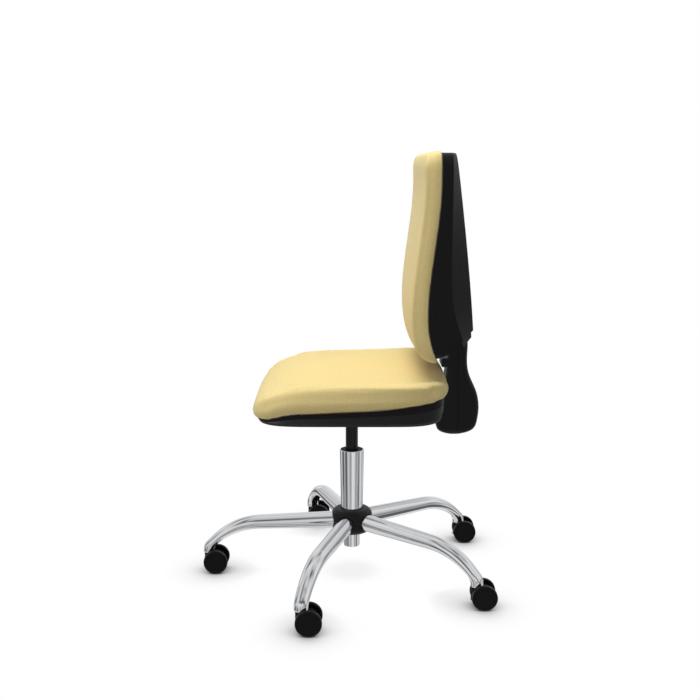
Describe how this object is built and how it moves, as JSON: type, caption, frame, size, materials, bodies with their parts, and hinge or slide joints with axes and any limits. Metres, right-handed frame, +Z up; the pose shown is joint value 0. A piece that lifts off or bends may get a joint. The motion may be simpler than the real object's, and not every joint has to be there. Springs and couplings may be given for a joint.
{
  "type": "office chair",
  "caption": "Swivel office chair without arms: padded seat and lumbar backrest on a boot-shaped upright, gas column and a chromed tube star base on castors.",
  "frame": {"origin": "on the floor, on the axis of the column", "axes": "+Z up; the chair faces -Y; the sitter's left is +X"},
  "size_m": [0.6798, 0.6521, 0.9547],
  "materials": {
    "chrome": "polished",
    "black_plastic": "fine grain",
    "castor_nylon": "smooth",
    "sand_fabric": "fine weave",
    "plywood": "raw",
    "black_steel": "satin",
    "bright_steel": "plain",
    "rubber": "matt"
  },
  "bodies": {
    "base": {"hub_sleeve": "chrome", "hub_cover_top": "black_plastic", "hub_cover_bottom": "black_plastic", "leg_front": "chrome", "leg_left_front": "chrome", "leg_left_rear": "chrome", "leg_right_rear": "chrome", "leg_right_front": "chrome", "stem_inserts": "black_plastic", "column_tube": "chrome", "guide_bush": "black_plastic", "thrust_bearing": "bright_steel"},
    "rod": {"piston_rod": "bright_steel", "rod_clip": "bright_steel"},
    "seat": {"gas_cylinder": "black_steel", "cone_socket": "black_steel", "mechanism_housing": "black_steel", "seat_board": "plywood", "seat_shell": "black_plastic", "seat_cushion": "sand_fabric", "seat_bolts": "bright_steel", "pivot_pin": "bright_steel", "pivot_spacers": "rubber"},
    "release_pin": {"release_pin": "bright_steel"},
    "height_lever": {"height_lever": "black_steel", "height_grip": "black_plastic"},
    "tilt_lever": {"tilt_lever": "black_steel", "tilt_grip": "black_plastic"},
    "back_support": {"back_bar": "black_steel", "torsion_bush": "rubber", "upright_cover_front": "black_plastic", "upright_cover_rear": "black_plastic"},
    "backrest": {"back_slide": "black_plastic", "back_board": "plywood", "back_bolts": "bright_steel", "back_shell": "black_plastic", "back_cushion": "sand_fabric"},
    "castor_front": {"castor_front_hood": "black_plastic", "castor_front_pins": "bright_steel"},
    "castor_front_wheel_left": {"castor_front_wheel_left": "castor_nylon"},
    "castor_front_wheel_right": {"castor_front_wheel_right": "castor_nylon"},
    "castor_left_front": {"castor_left_front_hood": "black_plastic", "castor_left_front_pins": "bright_steel"},
    "castor_left_front_wheel_left": {"castor_left_front_wheel_left": "castor_nylon"},
    "castor_left_front_wheel_right": {"castor_left_front_wheel_right": "castor_nylon"},
    "castor_left_rear": {"castor_left_rear_hood": "black_plastic", "castor_left_rear_pins": "bright_steel"},
    "castor_left_rear_wheel_left": {"castor_left_rear_wheel_left": "castor_nylon"},
    "castor_left_rear_wheel_right": {"castor_left_rear_wheel_right": "castor_nylon"},
    "castor_right_rear": {"castor_right_rear_hood": "black_plastic", "castor_right_rear_pins": "bright_steel"},
    "castor_right_rear_wheel_left": {"castor_right_rear_wheel_left": "castor_nylon"},
    "castor_right_rear_wheel_right": {"castor_right_rear_wheel_right": "castor_nylon"},
    "castor_right_front": {"castor_right_front_hood": "black_plastic", "castor_right_front_pins": "bright_steel"},
    "castor_right_front_wheel_left": {"castor_right_front_wheel_left": "castor_nylon"},
    "castor_right_front_wheel_right": {"castor_right_front_wheel_right": "castor_nylon"}
  },
  "joints": [
    {"name": "seat_swivel", "type": "hinge", "parent": "base", "child": "rod", "pos_m": [0, 0, 0.07], "axis": [0, 0, 1], "continuous": true},
    {"name": "gas_lift", "type": "slide", "parent": "rod", "child": "seat", "axis": [0, 0, 1], "range_m": [-0.05, 0.07]},
    {"name": "height_lever_turn", "type": "hinge", "parent": "seat", "child": "height_lever", "pos_m": [0, -0.034, 0.382], "axis": [-1, 0, 0], "range_deg": [0, 5], "stiffness_Nm_per_rad": 2, "springref_deg": -5.73},
    {"name": "release_press", "type": "slide", "parent": "seat", "child": "release_pin", "axis": [0, 0, -1], "range_m": [0, 0.003]},
    {"name": "tilt_lever_turn", "type": "hinge", "parent": "seat", "child": "tilt_lever", "pos_m": [0, 0.066, 0.382], "axis": [1, 0, 0], "range_deg": [0, 12]},
    {"name": "recline", "type": "hinge", "parent": "seat", "child": "back_support", "pos_m": [0, 0.112, 0.377], "axis": [-1, 0, 0], "range_deg": [0, 16]},
    {"name": "back_height", "type": "slide", "parent": "back_support", "child": "backrest", "axis": [0, 0, 1], "range_m": [-0.015, 0.045]},
    {"name": "castor_front_swivel", "type": "hinge", "parent": "base", "child": "castor_front", "pos_m": [0, -0.329, 0.05], "axis": [0, 0, 1], "continuous": true},
    {"name": "castor_front_wheel_left_roll", "type": "hinge", "parent": "castor_front", "child": "castor_front_wheel_left", "pos_m": [0, -0.314, 0.0275], "axis": [1, 0, 0], "continuous": true},
    {"name": "castor_front_wheel_right_roll", "type": "hinge", "parent": "castor_front", "child": "castor_front_wheel_right", "pos_m": [0, -0.314, 0.0275], "axis": [1, 0, 0], "continuous": true},
    {"name": "castor_left_front_swivel", "type": "hinge", "parent": "base", "child": "castor_left_front", "pos_m": [0.3129, -0.10167, 0.05], "axis": [0, 0, 1], "continuous": true},
    {"name": "castor_left_front_wheel_left_roll", "type": "hinge", "parent": "castor_left_front", "child": "castor_left_front_wheel_left", "pos_m": [0.3129, -0.08667, 0.0275], "axis": [1, 0, 0], "continuous": true},
    {"name": "castor_left_front_wheel_right_roll", "type": "hinge", "parent": "castor_left_front", "child": "castor_left_front_wheel_right", "pos_m": [0.3129, -0.08667, 0.0275], "axis": [1, 0, 0], "continuous": true},
    {"name": "castor_left_rear_swivel", "type": "hinge", "parent": "base", "child": "castor_left_rear", "pos_m": [0.19338, 0.26617, 0.05], "axis": [0, 0, 1], "continuous": true},
    {"name": "castor_left_rear_wheel_left_roll", "type": "hinge", "parent": "castor_left_rear", "child": "castor_left_rear_wheel_left", "pos_m": [0.19338, 0.28117, 0.0275], "axis": [1, 0, 0], "continuous": true},
    {"name": "castor_left_rear_wheel_right_roll", "type": "hinge", "parent": "castor_left_rear", "child": "castor_left_rear_wheel_right", "pos_m": [0.19338, 0.28117, 0.0275], "axis": [1, 0, 0], "continuous": true},
    {"name": "castor_right_rear_swivel", "type": "hinge", "parent": "base", "child": "castor_right_rear", "pos_m": [-0.19338, 0.26617, 0.05], "axis": [0, 0, 1], "continuous": true},
    {"name": "castor_right_rear_wheel_left_roll", "type": "hinge", "parent": "castor_right_rear", "child": "castor_right_rear_wheel_left", "pos_m": [-0.19338, 0.28117, 0.0275], "axis": [1, 0, 0], "continuous": true},
    {"name": "castor_right_rear_wheel_right_roll", "type": "hinge", "parent": "castor_right_rear", "child": "castor_right_rear_wheel_right", "pos_m": [-0.19338, 0.28117, 0.0275], "axis": [1, 0, 0], "continuous": true},
    {"name": "castor_right_front_swivel", "type": "hinge", "parent": "base", "child": "castor_right_front", "pos_m": [-0.3129, -0.10167, 0.05], "axis": [0, 0, 1], "continuous": true},
    {"name": "castor_right_front_wheel_left_roll", "type": "hinge", "parent": "castor_right_front", "child": "castor_right_front_wheel_left", "pos_m": [-0.3129, -0.08667, 0.0275], "axis": [1, 0, 0], "continuous": true},
    {"name": "castor_right_front_wheel_right_roll", "type": "hinge", "parent": "castor_right_front", "child": "castor_right_front_wheel_right", "pos_m": [-0.3129, -0.08667, 0.0275], "axis": [1, 0, 0], "continuous": true}
  ],
  "couplings": [
    {"joint": "release_press", "follows": "height_lever_turn", "m_per_rad": 0.034}
  ]
}
